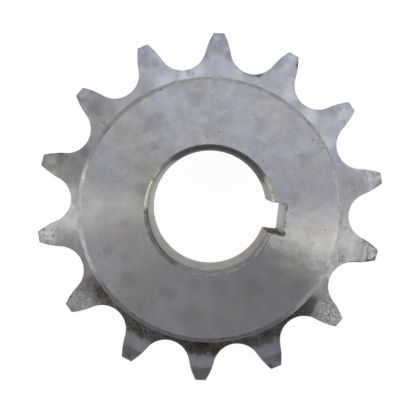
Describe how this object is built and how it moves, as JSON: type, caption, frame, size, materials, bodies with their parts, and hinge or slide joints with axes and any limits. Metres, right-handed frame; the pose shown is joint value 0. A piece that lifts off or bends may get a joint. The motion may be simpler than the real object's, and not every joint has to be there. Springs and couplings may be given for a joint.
{
  "type": "roller chain sprocket",
  "caption": "Steel roller-chain sprocket with a thick round hub on one side, a chamfered through bore and a square keyway.",
  "frame": {"origin": "on the bore axis, in the flat back face of the toothed plate", "axes": "+Z along the bore axis, out of the hub; +X through the middle of the keyway"},
  "size_m": [0.0762, 0.0768, 0.0254],
  "materials": {
    "turned_steel": "bare turned steel, lightly oiled, with fine tool marks and grime"
  },
  "bodies": {
    "root": {"chain_sprocket": "turned_steel"}
  },
  "joints": []
}
